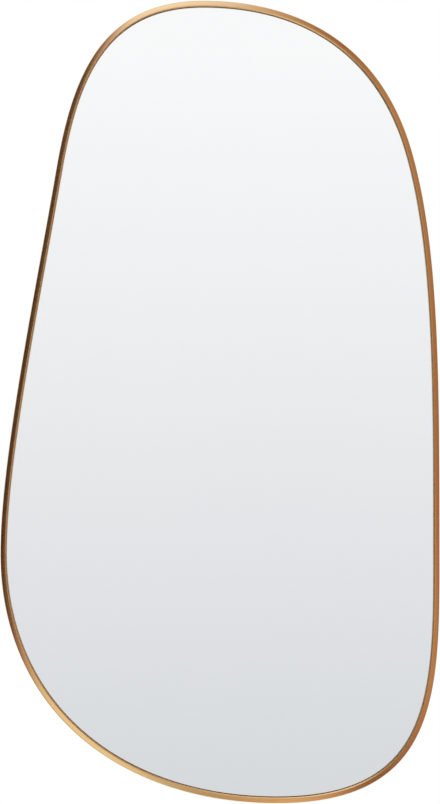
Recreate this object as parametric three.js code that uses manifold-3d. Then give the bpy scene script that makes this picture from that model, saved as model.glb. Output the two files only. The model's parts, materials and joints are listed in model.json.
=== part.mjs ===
// A wall mirror with an irregular, pebble-like outline, 602 x 1100 mm over its frame.
//
// One length of brushed gold aluminium profile is bent round the outline as an open ring. It springs
// open round the packet (gasket, glass, safety film, foam tape and backing board) and is closed at the
// bottom by a splice plate. Offset clips, screwed to the board, hook into the profile's rear channel and
// hold the packet against the lip. The mirror hangs by two D-rings, which swing in straps screwed to the
// board, and stands off the wall on bumpers.
//
// Millimetres, +Z up. The mirror faces -Y, so a viewer looks along +Y with +X to the right, and "left" is
// theirs. The origin is on the wall, midway between the two hooks that the raised D-rings hang on.
//
// Two measures are used all round the rim: inset is how far a point lies inside the outline, square to
// it, and depth is how far it lies behind the frontmost plane of the frame.

import * as THREE from "three";
import { mergeVertices } from "three/addons/utils/BufferGeometryUtils.js";
import Module from "manifold-3d";

const wasm = await Module();
wasm.setup();

// ---------------------------------------------------------------- driving dimensions

// Outline
const WIDTH = 602;
const HEIGHT = 1100;
// The outline as drawn at this width and height: smooth nodes of a closed curve, anticlockwise as the
// viewer sees it, with the heading of the curve in degrees and the reach of its two handles.
const DRAWN_WIDTH = 602;
const DRAWN_HEIGHT = 1100;
const OUTLINE_NODES = [
  { x: 78, z: -550, heading: 0, before: 216, after: 231 }, // lowest point
  { x: 301, z: -188, heading: 90, before: 202, after: 232 }, // right-hand side
  { x: 264, z: 340, heading: 105.6, before: 133, after: 161 }, // right shoulder
  { x: -23, z: 550, heading: 180, before: 127, after: 146 }, // highest point
  { x: -225, z: 316, heading: 260.3, before: 122, after: 166 }, // left shoulder
  { x: -301, z: -207, heading: 270, before: 128, after: 214 }, // left-hand side
];
const FACET_ERROR = 0.14; // how far a straight facet strays from the curve
const LONGEST_FACET = 45;

// Frame profile
const FRAME_DEPTH = 28;
const FACE_WIDTH = 8;
const LIP_THICKNESS = 1.5;
const WALL_THICKNESS = 1.3;
const EDGE_ROUND = 1.2; // radius of the outer front edge
const INNER_ROUND_WIDTH = 1.6; // the inner front edge is a quarter ellipse, this wide and this deep
const INNER_ROUND_DEPTH = 0.8;
const FACE_FALL = 0.6; // how far the face leans back from its inner side to its outer side
const FACE_CROWN = 0.05; // how far its middle stands out of a straight line between the two
const FLANGE_WIDTH = 6.5; // rear flange, from the outline inwards
const FLANGE_THICKNESS = 1.5;
const CHANNEL_GAP = 3.4; // between the rib and the rear flange
const RIB_WIDTH = 4.5; // from the outline inwards
const RIB_THICKNESS = 1.2;
const JOINT_GAP = 0.3; // butt joint at the lowest point

// Packet, front to back
const LAYER_GAP = 0.1; // clearance between flat layers
const EDGE_CLEARANCE = 1.2; // from the frame's wall to the packet's edge
const GASKET_THICKNESS = 0.8;
const GASKET_SETBACK = 1; // from the lip's inner edge
const GLASS_THICKNESS = 4;
const FILM_THICKNESS = 0.2;
const TAPE_THICKNESS = 1;
const TAPE_WIDTH = 25;
const TAPE_COUNT = 4;
const TAPE_SPACING = 110;
const TAPE_END_MARGIN = 45; // from a strip's end to the edge of the glass
const BOARD_THICKNESS = 9;

// Splice at the joint
const SPLICE_LENGTH = 70;
const SPLICE_WIDTH = 3.8;
const SPLICE_THICKNESS = 1.8;
const SPLICE_CLEARANCE = 0.3; // to the frame's wall
const SET_SCREW_RADIUS = 1.5;
const SET_SCREW_LENGTH = 3;
const SET_SCREW_CLEARANCE = 0.15; // radial, for the thread
const SET_SCREW_SOCKET = 1.5; // across flats
const SET_SCREW_SOCKET_DEPTH = 1.2;
const SET_SCREW_PLACES = [-26, -10, 10, 26]; // along the rim from the joint

// Screws, of one size for the clips and the straps
const SCREW_RADIUS = 1.75;
const SCREW_LENGTH = 8;
const SCREW_TIP = 2;
const SCREW_HEAD_RADIUS = 3.5;
const SCREW_HEAD_HEIGHT = 2.3;
// the pan head's profile from its seat up, as shares of that radius and height
const SCREW_HEAD_SHAPE = [
  [1, 0],
  [1, 0.4],
  [0.8, 0.85],
  [0.5, 1],
  [0, 1],
];
const SCREW_CLEARANCE = 0.35; // radial, through a clip or strap
const PILOT_CLEARANCE = 0.2; // radial, in the board, for the thread
const PILOT_EXTRA_DEPTH = 0.3;
const RECESS_LENGTH = 3.6; // cross recess in the head
const RECESS_WIDTH = 0.9;
const RECESS_DEPTH = 1.3;

// Retaining clips
const CLIP_COUNT = 10;
const CLIP_WIDTH = 20;
const CLIP_THICKNESS = 1.2;
const CLIP_TOE_CLEARANCE = 0.9; // from the toe's tip to the frame's wall
const CLIP_FLANGE_CLEARANCE = 0.2; // from the toe to the rear flange
const CLIP_RISER_CLEARANCE = 2; // from the rear flange's edge to where the toe turns into the riser
const CLIP_RISER_RUN = 3; // how far the riser leans inwards
const CLIP_FOOT_LENGTH = 15.5;
const CLIP_SCREW_OFFSET = 8; // along the foot, from the riser

// Hangers
const HANG_POINT_RISE = 290; // from the middle of the area up to the hooks
const HANGER_SPACING = 300;
const RING_WIRE_RADIUS = 1.5;
const RING_CORNER = 3; // bend at each end of the bar
const RING_LEG = 4; // straight part of a leg
const RING_SIDE_CLEARANCE = 0.5; // from the strap's edge to where the bar starts to bend
const CURL_CLEARANCE = 0.2; // radial, round the ring's bar
const CURL_TURN = 285; // degrees
const STRAP_WIDTH = 14;
const STRAP_THICKNESS = 1.2;
const STRAP_SCREW_COUNT = 2;
const STRAP_SCREW_CLEARANCE = 4; // from the hanging ring to the first screw's head
const STRAP_SCREW_SPACING = 16;
const STRAP_END_MARGIN = 9; // from the last screw to the strap's end

// Bumpers
const BUMPER_MARGIN = 0.25; // from the bumper to the rear flange's edges
const BUMPER_HEIGHT = 1.9;
const BUMPER_CHAMFER = 0.5;
const BUMPER_SHARES = [0.09, 0.41, 0.59, 0.91]; // places, as shares of the way round

// ---------------------------------------------------------------- depths and insets worked out from them

const GASKET_DEPTH = LIP_THICKNESS + LAYER_GAP;
const GLASS_DEPTH = GASKET_DEPTH + GASKET_THICKNESS + LAYER_GAP;
const FILM_DEPTH = GLASS_DEPTH + GLASS_THICKNESS + LAYER_GAP;
const TAPE_DEPTH = FILM_DEPTH + FILM_THICKNESS + LAYER_GAP;
const BOARD_DEPTH = TAPE_DEPTH + TAPE_THICKNESS + LAYER_GAP;
const BOARD_BACK = BOARD_DEPTH + BOARD_THICKNESS;
const FIXING_DEPTH = BOARD_BACK + LAYER_GAP; // where clips and straps lie on the board
const PACKET_INSET = WALL_THICKNESS + EDGE_CLEARANCE;

const FLANGE_FRONT = FRAME_DEPTH - FLANGE_THICKNESS;
const RIB_BACK = FLANGE_FRONT - CHANNEL_GAP;
const RIB_FRONT = RIB_BACK - RIB_THICKNESS;
const WALL_PLANE = FRAME_DEPTH + LAYER_GAP + BUMPER_HEIGHT;

// the curl's radius is to the middle of the strap's metal, and the ring's sizes to the middle of its wire
const CURL_RADIUS = RING_WIRE_RADIUS + CURL_CLEARANCE + STRAP_THICKNESS / 2;
const BAR_DEPTH = FIXING_DEPTH + STRAP_THICKNESS / 2 + CURL_RADIUS;
const RING_ARC = STRAP_WIDTH / 2 + RING_SIDE_CLEARANCE + RING_CORNER; // radius of its round end
const RING_REACH = RING_CORNER + RING_LEG + RING_ARC; // from the bar to the far end
const FIRST_STRAP_SCREW = RING_REACH + RING_WIRE_RADIUS + STRAP_SCREW_CLEARANCE + SCREW_HEAD_RADIUS;
const STRAP_SCREW_DROPS = Array.from(
  { length: STRAP_SCREW_COUNT },
  (_, i) => FIRST_STRAP_SCREW + i * STRAP_SCREW_SPACING, // below the bar's middle
);
const STRAP_LENGTH = STRAP_SCREW_DROPS.at(-1) + STRAP_END_MARGIN;

const SET_SCREW_INSET = (WALL_THICKNESS + FLANGE_WIDTH) / 2;
const CLIP_TOE_END = FLANGE_WIDTH + CLIP_RISER_CLEARANCE;
const CLIP_FOOT_START = CLIP_TOE_END + CLIP_RISER_RUN;
const CLIP_SCREW_INSET = CLIP_FOOT_START + CLIP_SCREW_OFFSET;
const BUMPER_RADIUS = FLANGE_WIDTH / 2 - BUMPER_MARGIN;

// ---------------------------------------------------------------- materials

const metal = (color, roughness) => new THREE.MeshStandardMaterial({ color, roughness, metalness: 1 });
const plain = (color, roughness) => new THREE.MeshStandardMaterial({ color, roughness, metalness: 0 });
const MATERIALS = {
  gold: metal(0xc79a5b, 0.38),
  mirror: metal(0xe6eaee, 0.03),
  steel: metal(0xb8babd, 0.35),
  darkSteel: metal(0x6d7074, 0.45),
  gasket: plain(0x2a2a2a, 0.8),
  film: plain(0xd5dadd, 0.4),
  foam: plain(0xf2f2ee, 0.9),
  board: plain(0x8c6a48, 0.8),
  rubber: plain(0x1c1c1c, 0.85),
};

const assembly = new THREE.Group();

function addMesh(name, geometry, material, parent = assembly) {
  const mesh = new THREE.Mesh(geometry, material);
  mesh.name = name;
  parent.add(mesh);
  return mesh;
}

// ---------------------------------------------------------------- joining and cutting

function solidOf(geometry) {
  const bare = geometry.clone();
  bare.deleteAttribute("normal");
  bare.deleteAttribute("uv");
  const merged = mergeVertices(bare, 1e-4);
  return new wasm.Manifold(
    new wasm.Mesh({
      numProp: 3,
      vertProperties: new Float32Array(merged.attributes.position.array),
      triVerts: new Uint32Array(merged.index.array),
    }),
  );
}

function geometryOf(solid) {
  const mesh = solid.getMesh();
  const geometry = new THREE.BufferGeometry();
  geometry.setAttribute("position", new THREE.BufferAttribute(mesh.vertProperties, 3));
  geometry.setIndex(new THREE.BufferAttribute(mesh.triVerts, 1));
  return geometry;
}

function cut(geometry, tools) {
  return geometryOf(tools.reduce((left, tool) => left.subtract(solidOf(tool)), solidOf(geometry)));
}

// ---------------------------------------------------------------- the outline

const radians = THREE.MathUtils.degToRad;

const outline = new THREE.CurvePath();
OUTLINE_NODES.forEach((node, i) => {
  const next = OUTLINE_NODES[(i + 1) % OUTLINE_NODES.length];
  const placed = (at, reach) =>
    new THREE.Vector2(
      (at.x + reach * Math.cos(radians(at.heading))) * (WIDTH / DRAWN_WIDTH),
      (at.z + reach * Math.sin(radians(at.heading))) * (HEIGHT / DRAWN_HEIGHT),
    );
  const points = [placed(node, 0), placed(node, node.after), placed(next, -next.before), placed(next, 0)];
  outline.add(new THREE.CubicBezierCurve(...points));
});
const RIM_LENGTH = outline.getLength();

// A station is a place on a path in the XZ plane, with the direction inwards, to the left of travel.
function stationAt(distance) {
  const share = THREE.MathUtils.euclideanModulo(distance / RIM_LENGTH, 1);
  const point = outline.getPoint(share);
  const along = outline.getTangent(share);
  return { x: point.x, z: point.y, inX: -along.y, inZ: along.x };
}

// Distances round the rim, closer together where it bends more, so that every facet strays about as
// little. Each node of the outline is one of them.
function rimDistances() {
  const step = 0.5;
  const distances = [];
  let start = 0;
  for (const end of outline.getCurveLengths()) {
    const samples = Math.round((end - start) / step);
    const at = (i) => start + ((end - start) * i) / samples;
    const facets = [0];
    for (let i = 1; i <= samples; i++) {
      const before = stationAt(at(i - 1));
      const here = stationAt(at(i));
      const bend = Math.abs(before.inX * here.inZ - before.inZ * here.inX) / (at(i) - at(i - 1));
      const density = Math.max(Math.sqrt(bend / (8 * FACET_ERROR)), 1 / LONGEST_FACET);
      facets.push(facets[i - 1] + density * (at(i) - at(i - 1)));
    }
    const count = Math.ceil(facets[samples]);
    let sample = 0;
    for (let i = 0; i < count; i++) {
      const wanted = (i / count) * facets[samples];
      while (facets[sample + 1] < wanted) sample++;
      const part = (wanted - facets[sample]) / (facets[sample + 1] - facets[sample]);
      distances.push(at(sample + part));
    }
    start = end;
  }
  return distances;
}

const RIM_DISTANCES = rimDistances();
const RIM_STATIONS = RIM_DISTANCES.map(stationAt);

// The rim's polygon at an inset, as points whose x and y are X and Z.
function rimPolygon(inset) {
  return RIM_STATIONS.map((s) => new THREE.Vector2(s.x + s.inX * inset, s.z + s.inZ * inset));
}

function centreOfArea(polygon) {
  const sum = { area: 0, x: 0, z: 0 };
  polygon.forEach((a, i) => {
    const b = polygon[(i + 1) % polygon.length];
    const cross = a.x * b.y - b.x * a.y;
    sum.area += cross;
    sum.x += (a.x + b.x) * cross;
    sum.z += (a.y + b.y) * cross;
  });
  return { x: sum.x / (3 * sum.area), z: sum.z / (3 * sum.area) };
}

// The lowest and highest Z where the upright line at x crosses a polygon.
function heightsAt(polygon, x) {
  const crossings = [];
  polygon.forEach((a, i) => {
    const b = polygon[(i + 1) % polygon.length];
    if ((a.x - x) * (b.x - x) < 0) crossings.push(a.y + ((x - a.x) / (b.x - a.x)) * (b.y - a.y));
  });
  return [Math.min(...crossings), Math.max(...crossings)];
}

// ---------------------------------------------------------------- shapes made from it

// A section of [inset, depth] points carried along stations, as a closed ring or with two flat ends.
// The section runs clockwise with inset to the right and depth upwards.
function sweep(section, stations, closed) {
  const positions = stations.flatMap((s) =>
    section.flatMap(([inset, depth]) => [s.x + s.inX * inset, depth, s.z + s.inZ * inset]),
  );
  const corners = section.length;
  const index = [];
  const spans = closed ? stations.length : stations.length - 1;
  for (let i = 0; i < spans; i++) {
    const here = i * corners;
    const next = ((i + 1) % stations.length) * corners;
    for (let j = 0; j < corners; j++) {
      const k = (j + 1) % corners;
      index.push(here + j, next + k, next + j, here + j, here + k, next + k);
    }
  }
  if (!closed) {
    const flat = section.map(([inset, depth]) => new THREE.Vector2(inset, depth));
    const last = (stations.length - 1) * corners;
    for (const [a, b, c] of THREE.ShapeUtils.triangulateShape(flat, [])) {
      index.push(a, b, c, last + a, last + c, last + b);
    }
  }
  const geometry = new THREE.BufferGeometry();
  geometry.setAttribute("position", new THREE.Float32BufferAttribute(positions, 3));
  geometry.setIndex(index);
  return geometry;
}

// A flat plate from a polygon in the XZ plane, between two depths.
function plate(polygon, depth, thickness) {
  const options = { depth: thickness, bevelEnabled: false };
  const geometry = new THREE.ExtrudeGeometry(new THREE.Shape(polygon), options);
  return geometry.rotateX(Math.PI / 2).translate(0, depth + thickness, 0);
}

// A bent metal strip: a centreline of [z, depth] points given a thickness, and extruded evenly about X = 0.
function bentStrip(centreline, thickness, width) {
  const line = centreline.map(([z, depth]) => new THREE.Vector2(z, depth));
  const side = (sign) =>
    line.map((point, i) => {
      const into = point.clone().sub(line[Math.max(i - 1, 0)]);
      const out = line[Math.min(i + 1, line.length - 1)].clone().sub(point);
      const first = (into.length() > 0 ? into : out).normalize();
      const second = (out.length() > 0 ? out : into).normalize();
      const miter = first.clone().add(second).normalize();
      const reach = thickness / 2 / miter.dot(first);
      return new THREE.Vector2(point.x - miter.y * reach * sign, point.y + miter.x * reach * sign);
    });
  const shape = new THREE.Shape([...side(1), ...side(-1).reverse()]);
  const geometry = new THREE.ExtrudeGeometry(shape, { depth: width, bevelEnabled: false });
  return geometry.rotateY(-Math.PI / 2).translate(width / 2, 0, 0);
}

// A plain cylinder about the depth axis, used for holes.
function drill(radius, x, depth, z, length, sides = 12) {
  return new THREE.CylinderGeometry(radius, radius, length, sides).translate(x, depth + length / 2, z);
}

// A group at a station, with its X along the rim and its Z inwards.
function groupAt(distance) {
  const station = stationAt(distance);
  const group = new THREE.Group();
  group.position.set(station.x, 0, station.z);
  group.rotation.y = Math.atan2(station.inX, station.inZ);
  assembly.add(group);
  return group;
}

// ---------------------------------------------------------------- frame profile

const ROUND_MIDDLE = 1 - Math.SQRT1_2; // a quarter round's middle, as a share of its radius from each side
const FACE_INNER_SIDE = FACE_WIDTH - INNER_ROUND_WIDTH; // the frontmost line, and the face leans from it
const frameSection = [
  [0, FRAME_DEPTH],
  [FLANGE_WIDTH, FRAME_DEPTH],
  [FLANGE_WIDTH, FLANGE_FRONT],
  [WALL_THICKNESS, FLANGE_FRONT],
  [WALL_THICKNESS, RIB_BACK],
  [RIB_WIDTH, RIB_BACK],
  [RIB_WIDTH, RIB_FRONT],
  [WALL_THICKNESS, RIB_FRONT],
  [WALL_THICKNESS, LIP_THICKNESS],
  [FACE_WIDTH, LIP_THICKNESS],
  [FACE_WIDTH, INNER_ROUND_DEPTH],
  [FACE_WIDTH - INNER_ROUND_WIDTH * ROUND_MIDDLE, INNER_ROUND_DEPTH * ROUND_MIDDLE],
  [FACE_INNER_SIDE, 0],
  [(FACE_INNER_SIDE + EDGE_ROUND) / 2, FACE_FALL / 2 - FACE_CROWN],
  [EDGE_ROUND, FACE_FALL],
  [EDGE_ROUND * ROUND_MIDDLE, FACE_FALL + EDGE_ROUND * ROUND_MIDDLE],
  [0, FACE_FALL + EDGE_ROUND],
];

function makeFrame() {
  const ends = [stationAt(JOINT_GAP / 2), stationAt(RIM_LENGTH - JOINT_GAP / 2)];
  const between = RIM_DISTANCES.filter((d) => d > JOINT_GAP && d < RIM_LENGTH - JOINT_GAP);
  const ring = sweep(frameSection, [ends[0], ...between.map(stationAt), ends[1]], false);
  const holes = SET_SCREW_PLACES.map((place) => {
    const s = stationAt(place);
    return drill(
      SET_SCREW_RADIUS + SET_SCREW_CLEARANCE,
      s.x + s.inX * SET_SCREW_INSET,
      FLANGE_FRONT - SET_SCREW_CLEARANCE,
      s.z + s.inZ * SET_SCREW_INSET,
      FLANGE_THICKNESS + 2 * SET_SCREW_CLEARANCE,
    );
  });
  addMesh("frame_profile", cut(ring, holes), MATERIALS.gold);
}

// ---------------------------------------------------------------- splice plate and its set screws

function makeSplice() {
  const inner = WALL_THICKNESS + SPLICE_CLEARANCE;
  const front = RIB_BACK + LAYER_GAP;
  const section = [
    [inner, front + SPLICE_THICKNESS],
    [inner + SPLICE_WIDTH, front + SPLICE_THICKNESS],
    [inner + SPLICE_WIDTH, front],
    [inner, front],
  ];
  const spans = 6;
  const stations = Array.from({ length: spans + 1 }, (_, i) => stationAt((i / spans - 0.5) * SPLICE_LENGTH));
  addMesh("splice_plate", sweep(section, stations, false), MATERIALS.steel);

  const tip = front + SPLICE_THICKNESS + LAYER_GAP;
  const socketRadius = SET_SCREW_SOCKET / Math.sqrt(3);
  const body = drill(SET_SCREW_RADIUS, 0, tip, SET_SCREW_INSET, SET_SCREW_LENGTH);
  const socket = drill(
    socketRadius,
    0,
    tip + SET_SCREW_LENGTH - SET_SCREW_SOCKET_DEPTH,
    SET_SCREW_INSET,
    2 * SET_SCREW_SOCKET_DEPTH,
    6,
  );
  const screw = cut(body, [socket]);
  SET_SCREW_PLACES.forEach((place, i) => {
    addMesh(`set_screw_${i + 1}`, screw, MATERIALS.darkSteel, groupAt(place));
  });
}

// ---------------------------------------------------------------- packet

function makePacket() {
  const gasketSection = [
    [PACKET_INSET, GASKET_DEPTH + GASKET_THICKNESS],
    [FACE_WIDTH - GASKET_SETBACK, GASKET_DEPTH + GASKET_THICKNESS],
    [FACE_WIDTH - GASKET_SETBACK, GASKET_DEPTH],
    [PACKET_INSET, GASKET_DEPTH],
  ];
  addMesh("glazing_gasket", sweep(gasketSection, RIM_STATIONS, true), MATERIALS.gasket);

  const packet = rimPolygon(PACKET_INSET);
  addMesh("mirror_glass", plate(packet, GLASS_DEPTH, GLASS_THICKNESS), MATERIALS.mirror);
  addMesh("shatter_film", plate(packet, FILM_DEPTH, FILM_THICKNESS), MATERIALS.film);

  for (let i = 0; i < TAPE_COUNT; i++) {
    const x = centre.x + (i - (TAPE_COUNT - 1) / 2) * TAPE_SPACING;
    const [low, high] = heightsAt(packet, x);
    const length = high - low - 2 * TAPE_END_MARGIN;
    const strip = new THREE.BoxGeometry(TAPE_WIDTH, TAPE_THICKNESS, length);
    const mesh = addMesh(`mounting_tape_${i + 1}`, strip, MATERIALS.foam);
    mesh.position.set(x, TAPE_DEPTH + TAPE_THICKNESS / 2, (low + high) / 2);
  }

  const holeRadius = SCREW_RADIUS + PILOT_CLEARANCE;
  const holeStart = FIXING_DEPTH + CLIP_THICKNESS - SCREW_LENGTH - PILOT_EXTRA_DEPTH;
  const pilots = screwPlaces().map(({ x, z }) =>
    drill(holeRadius, x, holeStart, z, BOARD_BACK - holeStart + PILOT_EXTRA_DEPTH, 8),
  );
  addMesh("backing_board", cut(plate(packet, BOARD_DEPTH, BOARD_THICKNESS), pilots), MATERIALS.board);
}

// ---------------------------------------------------------------- screws

// A pan-head screw with a cross recess. Its head seats at depth 0 and its tip points to the front.
function makeScrewGeometry() {
  const profile = [
    [0, -SCREW_LENGTH],
    [SCREW_RADIUS, -SCREW_LENGTH + SCREW_TIP],
    [SCREW_RADIUS, 0],
    ...SCREW_HEAD_SHAPE.map(([r, y]) => [r * SCREW_HEAD_RADIUS, y * SCREW_HEAD_HEIGHT]),
  ];
  const body = new THREE.LatheGeometry(
    profile.map(([r, y]) => new THREE.Vector2(r, y)),
    12,
  );
  const bar = (length, width) =>
    new THREE.BoxGeometry(length, 2 * RECESS_DEPTH, width).translate(0, SCREW_HEAD_HEIGHT, 0);
  return cut(body, [bar(RECESS_LENGTH, RECESS_WIDTH), bar(RECESS_WIDTH, RECESS_LENGTH)]);
}

const clipDistances = Array.from({ length: CLIP_COUNT }, (_, i) => ((i + 0.5) / CLIP_COUNT) * RIM_LENGTH);

// Where every screw enters the board.
function screwPlaces() {
  const underClips = clipDistances.map((distance) => {
    const s = stationAt(distance);
    return { x: s.x + s.inX * CLIP_SCREW_INSET, z: s.z + s.inZ * CLIP_SCREW_INSET };
  });
  const underStraps = HANGERS.flatMap(({ x }) =>
    STRAP_SCREW_DROPS.map((drop) => ({ x, z: BAR_HEIGHT - drop })),
  );
  return [...underClips, ...underStraps];
}

// ---------------------------------------------------------------- retaining clips

function makeClips() {
  const footDepth = FIXING_DEPTH + CLIP_THICKNESS / 2;
  const toeDepth = FLANGE_FRONT - CLIP_FLANGE_CLEARANCE - CLIP_THICKNESS / 2;
  const centreline = [
    [WALL_THICKNESS + CLIP_TOE_CLEARANCE, toeDepth],
    [CLIP_TOE_END, toeDepth],
    [CLIP_FOOT_START, footDepth],
    [CLIP_FOOT_START + CLIP_FOOT_LENGTH, footDepth],
  ];
  const hole = drill(
    SCREW_RADIUS + SCREW_CLEARANCE,
    0,
    FIXING_DEPTH - CLIP_THICKNESS,
    CLIP_SCREW_INSET,
    3 * CLIP_THICKNESS,
  );
  const clip = cut(bentStrip(centreline, CLIP_THICKNESS, CLIP_WIDTH), [hole]);
  const screw = makeScrewGeometry().translate(0, FIXING_DEPTH + CLIP_THICKNESS + LAYER_GAP, CLIP_SCREW_INSET);
  clipDistances.forEach((distance, i) => {
    const group = groupAt(distance);
    addMesh(`retaining_clip_${i + 1}`, clip, MATERIALS.steel, group);
    addMesh(`clip_screw_${i + 1}`, screw, MATERIALS.steel, group);
  });
}

// ---------------------------------------------------------------- hangers

const centre = centreOfArea(rimPolygon(0));
const BAR_HEIGHT = centre.z + HANG_POINT_RISE - RING_REACH + RING_WIRE_RADIUS;
const HANGERS = [
  { side: "left", x: centre.x - HANGER_SPACING / 2 },
  { side: "right", x: centre.x + HANGER_SPACING / 2 },
];

// Points on an arc about (x, z), angles in degrees, both ends included.
function arc(x, z, radius, from, to, steps) {
  return Array.from({ length: steps + 1 }, (_, i) => {
    const angle = radians(from + ((to - from) * i) / steps);
    return [x + radius * Math.cos(angle), z + radius * Math.sin(angle)];
  });
}

// The D-ring hanging down from its bar, whose middle is the origin.
function makeRingGeometry() {
  const bend = RING_ARC - RING_CORNER;
  const path = [
    ...arc(bend, -RING_CORNER, RING_CORNER, 0, 90, 3),
    ...arc(-bend, -RING_CORNER, RING_CORNER, 90, 180, 3),
    ...arc(0, -RING_CORNER - RING_LEG, RING_ARC, 180, 360, 12),
  ];
  const stations = path.map(([x, z], i) => {
    const [beforeX, beforeZ] = path[(i + path.length - 1) % path.length];
    const [afterX, afterZ] = path[(i + 1) % path.length];
    const into = new THREE.Vector2(x - beforeX, z - beforeZ).normalize();
    const out = new THREE.Vector2(afterX - x, afterZ - z).normalize();
    const along = into.add(out).normalize();
    return { x, z, inX: -along.y, inZ: along.x };
  });
  const wire = arc(0, 0, RING_WIRE_RADIUS, 0, -315, 7);
  return sweep(wire, stations, true);
}

function makeStrapGeometry() {
  const flat = FIXING_DEPTH + STRAP_THICKNESS / 2;
  // angle -90 points from the bar to the board and the turn goes up over the bar
  const curl = arc(0, BAR_DEPTH, CURL_RADIUS, -90, -90 + CURL_TURN, 16);
  const strip = bentStrip([[-STRAP_LENGTH, flat], ...curl], STRAP_THICKNESS, STRAP_WIDTH);
  const holes = STRAP_SCREW_DROPS.map((drop) =>
    drill(SCREW_RADIUS + SCREW_CLEARANCE, 0, FIXING_DEPTH - STRAP_THICKNESS, -drop, 3 * STRAP_THICKNESS),
  );
  return cut(strip, holes);
}

function makeHangers() {
  const strap = makeStrapGeometry();
  const ring = makeRingGeometry();
  const screw = makeScrewGeometry();
  for (const { side, x } of HANGERS) {
    const group = new THREE.Group();
    group.position.set(x, 0, BAR_HEIGHT);
    assembly.add(group);
    addMesh(`${side}_hanger_strap`, strap, MATERIALS.steel, group);
    addMesh(`${side}_d_ring`, ring, MATERIALS.steel, group).position.y = BAR_DEPTH;
    STRAP_SCREW_DROPS.forEach((drop, i) => {
      const mesh = addMesh(`${side}_strap_screw_${i + 1}`, screw, MATERIALS.steel, group);
      mesh.position.set(0, FIXING_DEPTH + STRAP_THICKNESS + LAYER_GAP, -drop);
    });
  }
}

// ---------------------------------------------------------------- bumpers

function makeBumpers() {
  const profile = [
    [0, 0],
    [BUMPER_RADIUS, 0],
    [BUMPER_RADIUS, BUMPER_HEIGHT - BUMPER_CHAMFER],
    [BUMPER_RADIUS - BUMPER_CHAMFER, BUMPER_HEIGHT],
    [0, BUMPER_HEIGHT],
  ];
  const bumper = new THREE.LatheGeometry(
    profile.map(([r, y]) => new THREE.Vector2(r, y)),
    16,
  );
  BUMPER_SHARES.forEach((share, i) => {
    const mesh = addMesh(`bumper_${i + 1}`, bumper, MATERIALS.rubber, groupAt(share * RIM_LENGTH));
    mesh.position.set(0, FRAME_DEPTH + LAYER_GAP, FLANGE_WIDTH / 2);
  });
}

makeFrame();
makeSplice();
makePacket();
makeClips();
makeHangers();
makeBumpers();

// The hooks' line is at the top of the raised rings' eyes.
assembly.position.set(-centre.x, -WALL_PLANE, -(centre.z + HANG_POINT_RISE));

export default assembly;
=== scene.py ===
"""A wall mirror with an irregular, pebble-like outline in a thin brushed gold frame: its surfaces.

Metres, +Z up. The mirror faces -Y, so a viewer looks along +Y with +X to the right. Sizes are written
in millimetres times MM. Two measures are used all round the rim, as on a drawing of the frame: inset is
how far a point lies inside the outline, and depth is how far it lies behind the frontmost plane.
"""

import json
import math

import bmesh
import bpy
import numpy as np
from mathutils import Matrix, Vector


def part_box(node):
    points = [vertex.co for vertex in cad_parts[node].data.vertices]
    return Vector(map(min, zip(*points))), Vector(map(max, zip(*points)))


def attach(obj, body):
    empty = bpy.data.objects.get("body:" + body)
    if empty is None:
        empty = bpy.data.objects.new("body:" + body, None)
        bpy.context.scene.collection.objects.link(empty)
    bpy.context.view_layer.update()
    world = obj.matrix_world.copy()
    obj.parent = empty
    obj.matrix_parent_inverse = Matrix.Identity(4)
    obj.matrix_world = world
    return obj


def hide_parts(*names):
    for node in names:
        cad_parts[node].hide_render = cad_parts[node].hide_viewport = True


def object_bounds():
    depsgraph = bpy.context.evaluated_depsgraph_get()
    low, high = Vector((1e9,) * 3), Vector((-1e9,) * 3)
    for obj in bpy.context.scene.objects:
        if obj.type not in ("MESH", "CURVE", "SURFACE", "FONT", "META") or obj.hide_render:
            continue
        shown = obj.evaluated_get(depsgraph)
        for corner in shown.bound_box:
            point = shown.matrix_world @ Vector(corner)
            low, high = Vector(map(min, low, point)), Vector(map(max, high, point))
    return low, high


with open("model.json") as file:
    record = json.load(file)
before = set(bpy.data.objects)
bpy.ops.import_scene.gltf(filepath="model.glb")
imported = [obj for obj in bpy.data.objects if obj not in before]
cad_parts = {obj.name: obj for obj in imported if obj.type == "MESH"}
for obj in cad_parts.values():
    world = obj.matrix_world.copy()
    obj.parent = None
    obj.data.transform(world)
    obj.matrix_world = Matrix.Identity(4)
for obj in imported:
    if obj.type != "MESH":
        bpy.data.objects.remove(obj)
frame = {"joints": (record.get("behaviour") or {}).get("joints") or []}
cad_low, cad_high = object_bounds()

MM = 0.001

# ------------------------------------------------------------------ sizes

# Outline: smooth nodes of a closed curve, anticlockwise as the viewer sees it, as
# (x, z, heading in degrees, reach of the handle before, reach of the handle after), in millimetres
OUTLINE_NODES = [
    (78, -550, 0, 216, 231),  # lowest point
    (301, -188, 90, 202, 232),  # right-hand side
    (264, 340, 105.6, 133, 161),  # right shoulder
    (-23, 550, 180, 127, 146),  # highest point
    (-225, 316, 260.3, 122, 166),  # left shoulder
    (-301, -207, 270, 128, 214),  # left-hand side
]
CURVE_SAMPLES = 600  # points on the curve from one node to the next
RIM_STEP = 2.5 * MM  # from one section to the next, of what runs round the rim

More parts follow.
